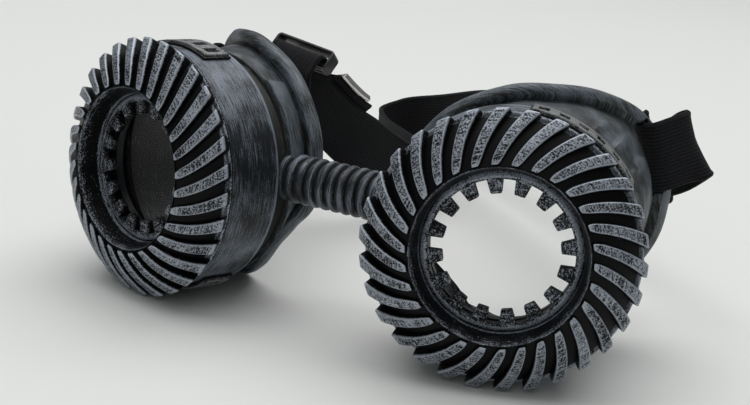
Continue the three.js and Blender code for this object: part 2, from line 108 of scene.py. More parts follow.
def cutAcross(bm, place, direction):  # adds a row of edges where a plane crosses the shape
    bmesh.ops.bisect_plane(bm, geom=bm.verts[:] + bm.edges[:] + bm.faces[:],
                           plane_co=place, plane_no=direction)


def block(size, bevel=0, segments=2, cuts=0):  # a bevelled block, cut along its length
    bm = bmesh.new()
    bmesh.ops.create_cube(bm, size=1)
    bmesh.ops.scale(bm, vec=size, verts=bm.verts)
    if bevel:
        bevelEdges(bm, bm.edges[:], bevel, segments, clamp=True)
    for k in range(cuts):
        cutAcross(bm, (size[0] * ((k + 1) / (cuts + 1) - 0.5), 0, 0), (1, 0, 0))
    return bm


def addMesh(bm, other):  # fuses another shape into bm
    mesh = bpy.data.meshes.new("joined")
    other.to_mesh(mesh)
    other.free()
    bm.from_mesh(mesh)
    bpy.data.meshes.remove(mesh)


def polar(point):
    return math.hypot(point.x, point.z), math.atan2(point.z, point.x)


def mix(a, b, share):
    return a + (b - a) * share


def smooth(low, high, value):
    share = min(1.0, max(0.0, (value - low) / (high - low)))
    return share * share * (3 - 2 * share)


def brush(bm, rule):  # how much silver each point takes, from 0 to 1, by its place in the cup's frame
    layer = bm.verts.layers.float.get("silver") or bm.verts.layers.float.new("silver")
    for vert in bm.verts:
        vert[layer] = rule(vert.co)


def unwrapRound(bm, radius):  # U runs round the cup and V along its axis, both in mm
    layer = bm.loops.layers.uv.get("brush") or bm.loops.layers.uv.new("brush")
    for face in bm.faces:
        middle = polar(face.calc_center_median())[1]
        for loop in face.loops:
            r, angle = polar(loop.vert.co)
            turn = (angle - middle + math.pi) % math.tau - math.pi
            loop[layer].uv = ((middle + turn) * radius, loop.vert.co.y + r * 0.5)


# Materials

def hexColor(text):  # an sRGB hex value as linear colour
    parts = [int(text[k:k + 2], 16) / 255 for k in (1, 3, 5)]
    return [c / 12.92 if c <= 0.04045 else ((c + 0.055) / 1.055) ** 2.4 for c in parts] + [1.0]


def addNode(tree, kind, settings=None, inputs=None):
    node = tree.nodes.new(kind)
    for name, value in (settings or {}).items():
        setattr(node, name, value)
    for socket, value in (inputs or {}).items():
        if isinstance(value, bpy.types.NodeSocket):
            tree.links.new(value, node.inputs[socket])
        else:
            node.inputs[socket].default_value = value
    return node


def newMaterial(name, fixed):
    material = bpy.data.materials.new(name)
    material.use_nodes = True
    shader = material.node_tree.nodes["Principled BSDF"]
    for socket, value in fixed.items():
        shader.inputs[socket].default_value = value
    return material, material.node_tree, shader


# Silver dry-brushed over black moulded ABS: the brush leaves speckles on the high places and streaks
# along its stroke, and the hollows stay black, darkened further by a dimmed reflection as painted shade.
def brushedAbs(name, look):
    material, tree, shader = newMaterial(name, {"IOR": 1.53})
    place = addNode(tree, "ShaderNodeTexCoord").outputs["Object"]
    stroke = addNode(tree, "ShaderNodeUVMap", {"uv_map": "brush"}).outputs["UV"]
    silver = addNode(tree, "ShaderNodeAttribute", {"attribute_name": "silver"}).outputs["Fac"]
    speck = addNode(tree, "ShaderNodeTexNoise", {"noise_dimensions": "3D"},
                    {"Vector": place, "Scale": 1000 / look["speckle"], "Detail": 4.0, "Roughness": 0.65})
    blotch = addNode(tree, "ShaderNodeTexNoise", {"noise_dimensions": "3D"},
                     {"Vector": place, "Scale": 1000 / look["blotch"], "Detail": 2.0, "Roughness": 0.55})
    stretched = addNode(tree, "ShaderNodeMapping", {"vector_type": "POINT"},
                        {"Vector": stroke, "Scale": (1 / look["strokeLength"], 1 / look["strokeWidth"], 1)})
    streak = addNode(tree, "ShaderNodeTexNoise", {"noise_dimensions": "2D"},
                     {"Vector": stretched.outputs["Vector"], "Scale": 1.0, "Detail": 5.0, "Roughness": 0.7})
    grain = addNode(tree, "ShaderNodeMix", {"data_type": "FLOAT"},
                    {0: look["streakShare"], 2: speck.outputs["Fac"], 3: streak.outputs["Fac"]})
    pattern = addNode(tree, "ShaderNodeMath", {"operation": "MULTIPLY_ADD"},
                      {0: blotch.outputs["Fac"], 1: look["blotchShare"], 2: grain.outputs[0]})
    hit = addNode(tree, "ShaderNodeMath", {"operation": "MULTIPLY_ADD"},
                  {0: silver, 1: look["reach"], 2: pattern.outputs[0]})
    mask = addNode(tree, "ShaderNodeMapRange", {"interpolation_type": "SMOOTHSTEP"},
                   {"Value": hit.outputs[0], "From Min": look["maskLow"], "From Max": look["maskHigh"],
                    "To Min": 0.0, "To Max": look["cover"]})
    shade = addNode(tree, "ShaderNodeMix", {"data_type": "RGBA"},
                    {0: streak.outputs["Fac"], 6: hexColor(look["base"]), 7: hexColor(look["baseLight"])})
    color = addNode(tree, "ShaderNodeMix", {"data_type": "RGBA"},
                    {0: mask.outputs[0], 6: shade.outputs[2], 7: hexColor(look["silver"])})
    rough = addNode(tree, "ShaderNodeMapRange", {},
                    {"Value": mask.outputs[0], "To Min": look["roughBase"], "To Max": look["roughSilver"]})
    metal = addNode(tree, "ShaderNodeMath", {"operation": "MULTIPLY"}, {0: mask.outputs[0], 1: look["metal"]})
    # painted shade: the bare black plastic reflects less than real plastic does, so grooves and hollows look
    # as dark as their shade; the silver keeps a plain reflection of 0.5
    gloss = addNode(tree, "ShaderNodeMapRange", {},
                    {"Value": mask.outputs[0], "To Min": look["shadedBareGloss"], "To Max": 0.5})
    height = addNode(tree, "ShaderNodeMath", {"operation": "MULTIPLY_ADD"},
                     {0: mask.outputs[0], 1: 0.4, 2: grain.outputs[0]})
    bump = addNode(tree, "ShaderNodeBump", {}, {"Height": height.outputs[0], "Distance": look["bump"] * mm,
                                                "Strength": 0.6})
    tree.links.new(color.outputs[2], shader.inputs["Base Color"])
    tree.links.new(rough.outputs[0], shader.inputs["Roughness"])
    tree.links.new(metal.outputs[0], shader.inputs["Metallic"])
    tree.links.new(gloss.outputs[0], shader.inputs["Specular IOR Level"])
    tree.links.new(bump.outputs["Normal"], shader.inputs["Normal"])
    return material


# Speckle, blotch and stroke sizes are in mm, much as a stiff brush leaves them. The rest are shares.
gearLook = {
    "speckle": 0.42, "blotch": 9.0, "strokeLength": 5.0, "strokeWidth": 0.4, "streakShare": 0.35,
    "blotchShare": 0.16, "reach": 0.42, "maskLow": 0.72, "maskHigh": 0.88, "cover": 0.94,
    "base": "#060607", "baseLight": "#0f1012", "silver": "#a9b1bb", "roughBase": 0.4, "roughSilver": 0.44,
    "metal": 0.5, "bump": 0.12, "shadedBareGloss": 0.1,
}
barrelLook = dict(
    gearLook, speckle=0.5, strokeLength=7.0, strokeWidth=0.32, streakShare=0.72, blotch=11.0,
    blotchShare=0.5, maskLow=0.8, maskHigh=1.04, cover=0.68, base="#0f1113", baseLight="#1d2125",
    silver="#8b95a1", metal=0.35, shadedBareGloss=0.3,
)
cupLook = dict(barrelLook, base="#1b1d1b", baseLight="#2c2e2b", silver="#7b858f", roughBase=0.5)
padLook = dict(gearLook, base="#0f1011", baseLight="#1c1d1f", silver="#8b8d8d", blotch=5.0, metal=0.1)

gearFinish = brushedAbs("dryBrushedAbs", gearLook)
barrelFinish = brushedAbs("streakBrushedAbs", barrelLook)
cupFinish = brushedAbs("brushedPvc", cupLook)
padFinish = brushedAbs("greyToppedAbs", padLook)


# Clear thin acrylic sheet: the eye sees through it and catches only a weak reflection
def clearAcrylic():
    material, tree, shader = newMaterial("clearAcrylic", {
        "Base Color": hexColor("#15181a"), "IOR": 1.49, "Alpha": 0.05})
    place = addNode(tree, "ShaderNodeTexCoord").outputs["Object"]
    dust = addNode(tree, "ShaderNodeTexNoise", {}, {"Vector": place, "Scale": 1000 / 25.0, "Detail": 1.0})
    haze = addNode(tree, "ShaderNodeMapRange", {},
                   {"Value": dust.outputs["Fac"], "To Min": 0.02, "To Max": 0.06})
    tree.links.new(haze.outputs[0], shader.inputs["Roughness"])
    return material


# Knitted polyester elastic: fine ribs along the band, painted shade in their hollows and painted light on
# their crests, a thicker selvedge, no gloss
def knittedElastic():
    look = {"ribPitch": 1.0, "stitchPitch": 0.9}  # in mm, as such webbing is knitted
    material, tree, shader = newMaterial("knittedElastic", {
        "Roughness": 0.9, "Sheen Weight": 0.05, "Sheen Roughness": 0.5, "Specular IOR Level": 0.1})
    band = addNode(tree, "ShaderNodeUVMap", {"uv_map": "band"}).outputs["UV"]
    parts = addNode(tree, "ShaderNodeSeparateXYZ", {}, {0: band})
    across = addNode(tree, "ShaderNodeMath", {"operation": "MULTIPLY"},
                     {0: parts.outputs["Y"], 1: math.tau / look["ribPitch"]})
    rib = addNode(tree, "ShaderNodeMath", {"operation": "SINE"}, {0: across.outputs[0]})
    along = addNode(tree, "ShaderNodeMath", {"operation": "MULTIPLY_ADD"},
                    {0: parts.outputs["X"], 1: math.tau / look["stitchPitch"], 2: across.outputs[0]})
    stitch = addNode(tree, "ShaderNodeMath", {"operation": "SINE"}, {0: along.outputs[0]})
    weave = addNode(tree, "ShaderNodeMath", {"operation": "MULTIPLY_ADD"},
                    {0: stitch.outputs[0], 1: 0.25, 2: rib.outputs[0]})
    fluff = addNode(tree, "ShaderNodeTexNoise", {"noise_dimensions": "2D"},
                    {"Vector": band, "Scale": 1.4, "Detail": 4.0})
    # painted shade and highlight: the colour follows the weave's height, darker in the hollows between ribs
    # and stitches and lighter on their crests, varied by the fluff noise
    weaveShade = addNode(tree, "ShaderNodeMapRange", {},
                   {"Value": weave.outputs[0], "From Min": -1.4, "From Max": 1.4})
    weaveShadeWithFluff = addNode(tree, "ShaderNodeMath", {"operation": "MULTIPLY"},
                    {0: weaveShade.outputs[0], 1: fluff.outputs["Fac"]})
    color = addNode(tree, "ShaderNodeMix", {"data_type": "RGBA"},
                    {0: weaveShadeWithFluff.outputs[0], 6: hexColor("#101011"), 7: hexColor("#313236")})
    bump = addNode(tree, "ShaderNodeBump", {},
                   {"Height": weave.outputs[0], "Distance": 0.08 * mm, "Strength": 0.6})
    tree.links.new(color.outputs[2], shader.inputs["Base Color"])
    tree.links.new(bump.outputs["Normal"], shader.inputs["Normal"])
    return material


# Moulded nylon: near black with a low sheen and a fine moulding grain
def mouldedNylon():
    material, tree, shader = newMaterial("mouldedNylon", {"IOR": 1.53})
    place = addNode(tree, "ShaderNodeTexCoord").outputs["Object"]
    grain = addNode(tree, "ShaderNodeTexNoise", {}, {"Vector": place, "Scale": 1000 / 0.7, "Detail": 3.0})
    color = addNode(tree, "ShaderNodeMix", {"data_type": "RGBA"},
                    {0: grain.outputs["Fac"], 6: hexColor("#0e0e10"), 7: hexColor("#1d1e21")})
    rough = addNode(tree, "ShaderNodeMapRange", {},
                    {"Value": grain.outputs["Fac"], "To Min": 0.3, "To Max": 0.5})
    bump = addNode(tree, "ShaderNodeBump", {}, {"Height": grain.outputs["Fac"], "Distance": 0.05 * mm})
    tree.links.new(color.outputs[2], shader.inputs["Base Color"])
    tree.links.new(rough.outputs[0], shader.inputs["Roughness"])
    tree.links.new(bump.outputs["Normal"], shader.inputs["Normal"])
    return material


# Nickel-plated steel wire: bright, with faint noise in its colour and roughness
def platedSteel():
    material, tree, shader = newMaterial("platedSteel", {"Metallic": 1.0})
    place = addNode(tree, "ShaderNodeTexCoord").outputs["Object"]
    wear = addNode(tree, "ShaderNodeTexNoise", {}, {"Vector": place, "Scale": 1000 / 1.5, "Detail": 4.0})
    color = addNode(tree, "ShaderNodeMix", {"data_type": "RGBA"},
                    {0: wear.outputs["Fac"], 6: hexColor("#b9b8b4"), 7: hexColor("#e2e1dc")})
    rough = addNode(tree, "ShaderNodeMapRange", {},
                    {"Value": wear.outputs["Fac"], "To Min": 0.15, "To Max": 0.32})
    tree.links.new(color.outputs[2], shader.inputs["Base Color"])
    tree.links.new(rough.outputs[0], shader.inputs["Roughness"])
    return material


acrylicFinish = clearAcrylic()
elasticFinish = knittedElastic()
nylonFinish = mouldedNylon()
steelFinish = platedSteel()
print("materials made")


# The gears: spiral teeth on a cone, round a funnel-shaped bore

gear = {
    "teeth": 30, "heel": 36.0, "toe": 23.2, "faceDepth": 7.3, "heelHeight": 2.7, "toeHeight": 1.2,
    "land": 0.46, "flank": 0.07, "spiral": 15.0, "crown": 0.9, "boreFront": 22.3, "boreRear": 20.6,
    "boreStep": -1.4, "backInset": 1.4, "rear": 3.5, "toothBevel": 0.42, "cuts": 12, "boreFace": -6.6,
    "rootEnd": 0.88, "rootSteps": 8, "toothWidth": 3.3, "toothHeight": 3.0, "toeNarrow": 0.28,
    "backLip": [(-1.9, 1.9), (-1.3, 2.5), (-0.35, 2.3), (0, 2.55), (0, 3.0)],  # out from the edge, depth
    "silver": {"root": 0.0, "funnel": 0.16, "lip": 0.5, "rim": 0.6, "back": 0.1, "land": 0.5, "edge": 0.32,
               "end": 0.3, "flank": 0.2},
}
gearSlope = math.atan2(gear["faceDepth"], gear["heel"] - gear["toe"])


def gearFace(share, height):  # radius and depth on the face, height above the teeth's tops
    out = gear["crown"] * math.sin(math.pi * share) + height
    return (mix(gear["toe"], gear["heel"], share) + out * math.sin(gearSlope),
            mix(-gear["faceDepth"], 0, share) - out * math.cos(gearSlope))


def toothDepth(share):
    return mix(gear["toeHeight"], gear["heelHeight"], share)


def gearBody():
    back = gear["heel"] - gear["backInset"]
    shares = [k / gear["rootSteps"] * gear["rootEnd"] for k in range(gear["rootSteps"] + 1)]
    roots = [gearFace(share, -toothDepth(share)) for share in shares]
    lip = [(back + out, depth) for out, depth in gear["backLip"]]
    profile = [(gear["boreFront"], gear["boreFace"]), (gear["boreFront"] + 0.25, gear["boreFace"] - 0.15),
               *roots, *lip, (back - 0.6, gear["rear"]), (gear["boreRear"], gear["rear"]),
               (gear["boreRear"], gear["boreStep"] + 0.3), (gear["boreRear"] + 0.12, gear["boreStep"] - 0.2),
               (mix(gear["boreRear"], gear["boreFront"], 0.5), -4.0)]
    bm = spinProfile(profile, gear["teeth"] * 4)
    silver = bm.verts.layers.float.new("silver")
    for vert in bm.verts:
        r, angle = polar(vert.co)
        share = (r - gear["toe"]) / (gear["heel"] - gear["toe"])
        onFace = vert.co.y < 1.5 and r > gear["toe"] - 0.7 and vert.co.y < -6.3 + 12 * share + 4
        turned = angle - math.radians(gear["spiral"]) * share
        if onFace:
            vert[silver] = gear["silver"]["root"]
            vert.co.x, vert.co.z = r * math.cos(turned), r * math.sin(turned)
        elif r < gear["boreFront"] + 0.6 and vert.co.y < gear["boreStep"]:
            vert[silver] = gear["silver"]["lip" if vert.co.y < gear["boreFace"] + 0.2 else "funnel"]
        else:
            vert[silver] = gear["silver"]["rim" if vert.co.y < 2.8 else "back"]
    return bm


def gearTooth():
    length = math.hypot(gear["faceDepth"], gear["heel"] - gear["toe"])
    width, height = gear["toothWidth"], gear["toothHeight"]
    bm = block((length, width, height), gear["toothBevel"], segments=3, cuts=gear["cuts"])
    for at in (-0.32, 0, 0.32):
        cutAcross(bm, (0, at * width, 0), (0, 1, 0))
    cutAcross(bm, (0, 0, height * 0.2), (0, 0, 1))
    silver = bm.verts.layers.float.new("silver")
    pitch = 360 / gear["teeth"]
    for vert in bm.verts:
        share = vert.co.x / length + 0.5
        down = (height / 2 - vert.co.z) / height  # 0 on the land, 1 at the root
        across = vert.co.y / (width / 2)
        edge = smooth(0.7, 0.96, abs(across)) * (1 - smooth(0.12, 0.3, down))
        ends = smooth(0.93, 1.0, share) + smooth(0.07, 0.0, share)
        top = 1 - smooth(0.1, 0.3, down)
        worn = min(1.0, gear["silver"]["land"] + gear["silver"]["edge"] * edge + gear["silver"]["end"] * ends)
        vert[silver] = top * worn + gear["silver"]["flank"] * (1 - top) * (1 - down)
        narrow = 1 - gear["toeNarrow"] * smooth(0.12, 0.0, share)
        half = (gear["land"] / 2 + gear["flank"] * down * 1.1) * narrow
        angle = math.radians(pitch * (gear["land"] / 2 + across * half) - gear["spiral"] * share)
        r, d = gearFace(share, -down * toothDepth(share) * 1.25)
        vert.co = (r * math.cos(angle), d, r * math.sin(angle))
    return bm


def makeGears():
    for label, side in sides.items():
        bm = gearTooth()
        spinCopies(bm, gear["teeth"])
        addMesh(bm, gearBody())
        bmesh.ops.recalc_face_normals(bm, faces=bm.faces)
        unwrapRound(bm, 30)
        piece = finishMesh(bm, f"gear_{label}", tableMatrix() @ cupMatrix(side), gearFinish, 40)
        settle(piece, "gear", f"gear_rim_{label}")
    print("gears made")


makeGears()


# The rings of square teeth, in front of the lenses

ring = {
    "teeth": 16, "root": 18.2, "tip": 14.7, "outer": 20.3, "front": -0.9, "rear": 1.3, "chamfer": 0.9,
    "baseWidth": 4.3, "tipWidth": 2.75, "bevel": 0.28, "steps": 128, "hoopFrom": 18.6, "hoopTo": 19.4,
    "silver": {"front": 0.4, "side": 0.12, "hoop": 0.3},
}


def ringTooth():
    reach = ring["root"] + 0.5 - ring["tip"]
    bm = block((reach, ring["rear"] - ring["front"], 1))
    for vert in bm.verts:
        inward = 0.5 - vert.co.x / reach
        vert.co.z *= mix(ring["baseWidth"], ring["tipWidth"], inward)
        vert.co.y += (ring["rear"] + ring["front"]) / 2
        vert.co.x += ring["tip"] + reach / 2
    bevelEdges(bm, bm.edges[:], ring["bevel"], 2)
    bmesh.ops.rotate(bm, verts=bm.verts, cent=(0, 0, 0),
                     matrix=Matrix.Rotation(-math.pi / ring["teeth"], 3, "Y"))
    return bm


def ringWear(place):
    silver = ring["silver"]
    hoop = smooth(ring["hoopFrom"], ring["hoopTo"], polar(place)[0])
    return silver["front" if place.y < ring["front"] + 0.35 else "side"] + silver["hoop"] * hoop


def makeRings():
    for label, side in sides.items():
        bm = ringTooth()
        spinCopies(bm, ring["teeth"])
        addMesh(bm, spinProfile([
            (ring["root"] + 0.1, ring["front"] + 0.25), (ring["root"] + 0.35, ring["front"]),
            (ring["root"] + ring["chamfer"], ring["front"]), (ring["root"] + 1.3, ring["front"] + 0.15),
            (ring["outer"], ring["front"] + ring["chamfer"]), (ring["outer"], ring["rear"]),
            (ring["root"] + 0.1, ring["rear"])], ring["steps"]))
        bmesh.ops.recalc_face_normals(bm, faces=bm.faces)
        brush(bm, ringWear)
        unwrapRound(bm, 17)
        piece = finishMesh(bm, f"toothed_ring_{label}", tableMatrix() @ cupMatrix(side), gearFinish, 35)
        settle(piece, "gear", f"spline_ring_{label}")
        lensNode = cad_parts[f"lens_{label}"]
        lensNode.data.materials.clear()
        lensNode.data.materials.append(acrylicFinish)
    print("toothed rings made")


makeRings()


# The barrels and their vent pads

barrel = {
    "radius": 33.5, "wall": 2.9, "front": 3.8, "rear": 19.9, "plate": 2.2, "hole": 18.5, "noseAt": 172.0,
    "steps": 144, "silver": {"wall": 0.44, "edge": 0.55, "nose": 0.25},
}


def barrelWear(place):
    radius, angle = polar(place)
    if radius < barrel["radius"] - 1:
        return 0.0
    rear, silver = barrel["rear"], barrel["silver"]
    edge = smooth(rear - 1.1, rear - 0.5, place.y) * silver["edge"]
    nose = smooth(0.75, 1.0, math.cos(angle - math.radians(barrel["noseAt"])))  # darker by the bridge
    return silver["wall"] + edge - silver["nose"] * nose * (1 - smooth(rear - 3, rear, place.y))


def makeBarrels():
    r, inner = barrel["radius"], barrel["radius"] - barrel["wall"]
    front, rear = barrel["front"], barrel["rear"]
    profile = [(barrel["hole"], front), (r - 0.7, front), (r - 0.2, front + 0.15), (r, front + 0.6)]
    profile += [(r, mix(front + 0.6, rear - 1.3, k / 10)) for k in range(1, 11)]
    profile += [(r + 0.12, rear - 0.9), (r + 0.15, rear - 0.45), (r, rear - 0.12), (r - 0.3, rear),
                (inner, rear), (inner, front + barrel["plate"]), (barrel["hole"], front + barrel["plate"])]
    for label, side in sides.items():
        bm = spinProfile(profile, barrel["steps"])
        brush(bm, barrelWear)
        unwrapRound(bm, r)
        piece = finishMesh(bm, f"housing_{label}", tableMatrix() @ cupMatrix(side), barrelFinish, 40)
        settle(piece, "barrel", f"barrel_{label}", f"barrel_plate_{label}")
    print("barrels made")


makeBarrels()

pad = {
    "from": 30.4, "to": 86.6, "front": 8.4, "length": 9.6, "low": 0.65, "high": 0.65, "step": 0.7,
    "slots": 6, "slotShare": 0.5, "margin": 1.9, "leftTurn": 22.0, "opposite": 180.0, "seat": 0.15,
    "bevel": 0.22, "topBevel": 0.16, "cuts": 22, "silver": {"top": 0.62, "step": 0.3, "side": 0.1},
}


def padWear(place):
    if place.z > pad["low"] + pad["high"] - 0.2:
        return pad["silver"]["top"]
    return pad["silver"]["step" if place.z > 0.5 else "side"]


def padShape(turn):
    radius = barrel["radius"] + pad["seat"]
    width = math.radians(pad["to"] - pad["from"]) * radius
    bm = block((width, pad["length"], pad["low"]), pad["bevel"], cuts=pad["cuts"])
    bmesh.ops.translate(bm, vec=(0, 0, pad["low"] / 2), verts=bm.verts)
    top = bmesh.new()
    columns = 2 * pad["slots"] + 1
    bmesh.ops.create_grid(top, x_segments=columns, y_segments=3, size=0.5)
    pitch = (width - 2 * pad["step"]) / pad["slots"]
    centres = [(k + 0.5 - pad["slots"] / 2) * pitch for k in range(pad["slots"])]
    lines = [-0.5 * (width - 2 * pad["step"])]
    for centre in centres:
        lines += [centre - pitch * pad["slotShare"] / 2, centre + pitch * pad["slotShare"] / 2]
    lines.append(-lines[0])
    halfLength = pad["length"] / 2 - pad["step"]
    rows = [-halfLength, -halfLength + pad["margin"], halfLength - pad["margin"], halfLength]
    for vert in top.verts:
        vert.co.x = lines[round((vert.co.x + 0.5) * columns)]
        vert.co.y = rows[round((vert.co.y + 0.5) * 3)]
    slots = [f for f in top.faces if abs(f.calc_center_median().y) < 1
             and any(abs(f.calc_center_median().x - centre) < 0.5 for centre in centres)]
    bmesh.ops.delete(top, geom=slots, context="FACES")
    raised = bmesh.ops.extrude_face_region(top, geom=top.faces[:])
    lifted = [v for v in raised["geom"] if isinstance(v, bmesh.types.BMVert)]
    bmesh.ops.translate(top, vec=(0, 0, pad["low"] + pad["high"]), verts=lifted)
    bmesh.ops.recalc_face_normals(top, faces=top.faces)
    corners = [e for e in top.edges if e.is_manifold and e.calc_face_angle(0) > 1 and
               max(v.co.z for v in e.verts) > 1 and min(v.co.z for v in e.verts) > 1]
    bevelEdges(top, corners, pad["topBevel"], 2)
    addMesh(bm, top)
    brush(bm, padWear)
    for vert in bm.verts:
        middle = math.radians((pad["from"] + pad["to"]) / 2 + turn)
        angle, r = middle + vert.co.x / radius, radius + vert.co.z
        depth = pad["front"] + pad["length"] / 2 + vert.co.y
        vert.co = (r * math.cos(angle), depth, r * math.sin(angle))
    bmesh.ops.recalc_face_normals(bm, faces=bm.faces)
    unwrapRound(bm, radius)
    return bm


def makePads():
    for label, side in sides.items():
        turn = pad["leftTurn"] if side < 0 else 0
        for name, more in (("top", 0), ("bottom", pad["opposite"])):
            piece = finishMesh(padShape(turn + more), f"vent_{name}_{label}",
                               tableMatrix() @ cupMatrix(side), padFinish, 30)
            settle(piece, "pad", f"vent_pad_{name}_{label}")
    print("vent pads made")


makePads()


# The eye cups

cup = {
    "neck": 30.3, "neckFront": 15.9, "coneFront": 25.5, "cone": 31.9, "coneRear": 33.1, "rim": 37.0,
    "wall": 2.1, "sweep": 0.6, "soft": 9.0, "bead": 4.4, "beadFront": 0.6, "beadDepth": 4.2,
    "panelRise": 0.8, "panelFrom": 128.0, "panelTo": 232.0, "leftRoll": 6.0, "eyeReach": 26.6,
    "steps": 240, "silver": {"bead": 0.42, "beadFront": 0.3, "cone": 0.3, "raised": 0.2, "panel": 0.08,
                             "neck": 0.12},
}
rimOutline = [
    {"at": 6, "share": 1.086}, {"at": 24, "share": 1.14}, {"at": 44, "share": 1.155},
    {"at": 62, "share": 1.09}, {"at": 80, "share": 1.02}, {"at": 101, "share": 0.983},
    {"at": 130, "share": 0.95}, {"at": 163, "share": 0.92}, {"at": 195, "share": 0.87},
    {"at": 215, "share": 0.775}, {"at": 235, "share": 0.765}, {"at": 254, "share": 0.86},
    {"at": 272, "share": 0.918}, {"at": 305, "share": 0.935}, {"at": 345, "share": 1.005},
]


def rimTable():  # the rim's reach at each half degree, on a smooth closed curve through the outline
    points = [Vector((row["share"] * math.cos(math.radians(row["at"])), 0,
                      row["share"] * math.sin(math.radians(row["at"])))) for row in rimOutline]
    reach = {}
    count = len(points)
    for k in range(count):
        a, b, c, d = (points[(k + n) % count] for n in (-1, 0, 1, 2))
        for n in range(240):
            t = n / 240
            p = b + (c - a) * 0.5 * t + (a - 2.5 * b + 2 * c - 0.5 * d) * t * t \
                + (-0.5 * a + 1.5 * b - 1.5 * c + 0.5 * d) * t ** 3
            reach[round(math.degrees(math.atan2(p.z, p.x)) * 2) % 720] = p.length
    return reach


rimReachTable = rimTable()


def rimReach(angle):
    at = (math.degrees(angle) * 2) % 720
    low = math.floor(at)
    return cup["rim"] * mix(rimReachTable[low % 720], rimReachTable[(low + 1) % 720], at - low)


def rimSweep(outward):
    return cup["sweep"] * (math.hypot(outward, cup["soft"]) + outward) / 2


def hug(vert, rise=0.0):  # bends a round section to the rim's outline, more and more towards the rim
    r, angle = polar(vert.co)
    share = min(1.0, max(0.0, (vert.co.y - cup["coneFront"]) / (cup["coneRear"] - 0.6 - cup["coneFront"])))
    r = r + share * (rimReach(angle) - cup["rim"]) + rise
    depth = vert.co.y + share * rimSweep(r * math.cos(angle))
    vert.co = (r * math.cos(angle), depth, r * math.sin(angle))


# Raised work on the cone: leaf-shaped lobes and ridges beside the strap's slot
relief = {
    "leafHeight": 0.75,
    "leaves": [{"at": 56, "share": 0.42, "long": 9.0, "wide": 2.6, "lean": -0.35},
               {"at": 44, "share": 0.45, "long": 9.5, "wide": 2.8, "lean": -0.25},
               {"at": 31, "share": 0.48, "long": 9.5, "wide": 2.8, "lean": -0.1}],
    "ridgeHeight": 0.6, "ridges": [0.2, 0.42, 0.64], "ridgeFrom": 2, "ridgeTo": 24,
}


def reliefHeight(angle, share):
    degrees = math.degrees(angle)
    height = 0.0
    for leaf in relief["leaves"]:
        u = (degrees - leaf["at"]) * 0.6
        v = (share - leaf["share"]) * 12
        along, across = v + leaf["lean"] * u, u - leaf["lean"] * v
        width = leaf["wide"] * (0.62 + 0.38 * math.tanh(along / 2))
        inside = 1 - (across / width) ** 2 - (along / (leaf["long"] / 2)) ** 2
        height = max(height, relief["leafHeight"] * smooth(0.0, 0.7, inside))
    if relief["ridgeFrom"] < degrees < relief["ridgeTo"]:
        fade = smooth(relief["ridgeFrom"], relief["ridgeFrom"] + 5, degrees) * \
            smooth(relief["ridgeTo"], relief["ridgeTo"] - 3, degrees)
        for at in relief["ridges"]:
            height = max(height, relief["ridgeHeight"] * fade * smooth(0.07, 0.02, abs(share - at)))
    return height


def cupShape():
    rim, bead, cone, neck = cup["rim"], cup["bead"], cup["cone"], cup["neck"]
    front, rear, base = cup["coneFront"], cup["coneRear"], cup["neckFront"]
    beadRear = rear + cup["beadDepth"] - cup["beadFront"]
    inner = neck - cup["wall"]
    profile = [(neck, base), (neck, base + 4), (neck, front - 0.9), (neck + 0.15, front - 0.35),
               (cone - 0.45, front - 0.15), (cone, front + 0.35)]
    edge = rim - bead - 0.3
    profile += [(mix(cone, edge, k / 14), mix(front + 0.35, rear - 0.6, k / 14)) for k in range(1, 15)]
    profile += [(edge + 0.3, rear + 0.3), (rim - bead + 0.6, rear - 0.15), (rim - bead + 1.3, rear - 0.6),
                (rim - 2.2, rear - 0.75), (rim - 0.9, rear - 0.45), (rim - 0.2, rear + 0.3),
                (rim, rear + 1.1), (rim - 0.15, beadRear - 1.1), (rim - 0.6, beadRear - 0.35),
                (rim - 1.5, beadRear),
                (rim - bead + 1, beadRear - 0.4), (rim - bead - cup["wall"], rear + 1.2),
                (cone - cup["wall"], front + 1.2), (inner, front - 0.8), (inner, base)]
    bm = spinProfile(profile, cup["steps"])
    silver, worn = bm.verts.layers.float.new("silver"), cup["silver"]
    for vert in bm.verts:
        r, angle = polar(vert.co)
        share = (vert.co.y - front) / (rear - 0.6 - front)
        onCone = 0.02 < share < 0.999 and r > cone - 0.6 + (edge - cone) * share
        degrees = math.degrees(angle) % 360
        panel = smooth(cup["panelFrom"] - 1, cup["panelFrom"] + 1, degrees) * \
            smooth(cup["panelTo"] + 1, cup["panelTo"] - 1, degrees)
        rise = 0.0
        if onCone:
            rise = cup["panelRise"] * panel + reliefHeight(angle, share)
        if share > 0.999 and r > rim - bead - 0.05:
            vert[silver] = worn["bead" if r > rim - 3 else "beadFront"]
        elif onCone:
            vert[silver] = worn["cone"] + worn["raised"] * min(1.0, rise) + worn["panel"] * panel
        elif r > neck - 0.1:
            vert[silver] = worn["neck"]
        else:
            vert[silver] = 0.0
        inside = share > 0.1 and r < edge - 1 + (0 if vert.co.y < beadRear - 1.1 else 2.2)
        hug(vert, rise)
        if inside:  # the rim's inner edge keeps clear of the eye
            spread = polar(vert.co)[0]
            if spread < cup["eyeReach"]:
                vert.co.x, vert.co.z = (c * cup["eyeReach"] / spread for c in (vert.co.x, vert.co.z))
    unwrapRound(bm, 34)
    return bm


slot = {"at": 29.0, "inset": 5.0, "tilt": 20.0, "edgePlay": 0.7, "facePlay": 1.3, "bevel": 0.5}
strap = {"width": 20.0, "thickness": 1.6}


def slotMatrix():
    angle = math.radians(slot["at"])
    radius = rimReach(angle) - slot["inset"]
    x, z = radius * math.cos(angle), radius * math.sin(angle)
    slope = cup["sweep"] * (x / math.hypot(x, cup["soft"]) + 1) / 2
    return Matrix.Translation((x, cup["coneRear"] + rimSweep(x), z)) @ \
        Matrix.Rotation(math.atan(slope), 4, "Z") @ Matrix.Rotation(-math.radians(slot["tilt"]), 4, "Y")


def rollMatrix(side):
    return Matrix.Rotation(math.radians(cup["leftRoll"]) if side < 0 else 0, 4, "Y")


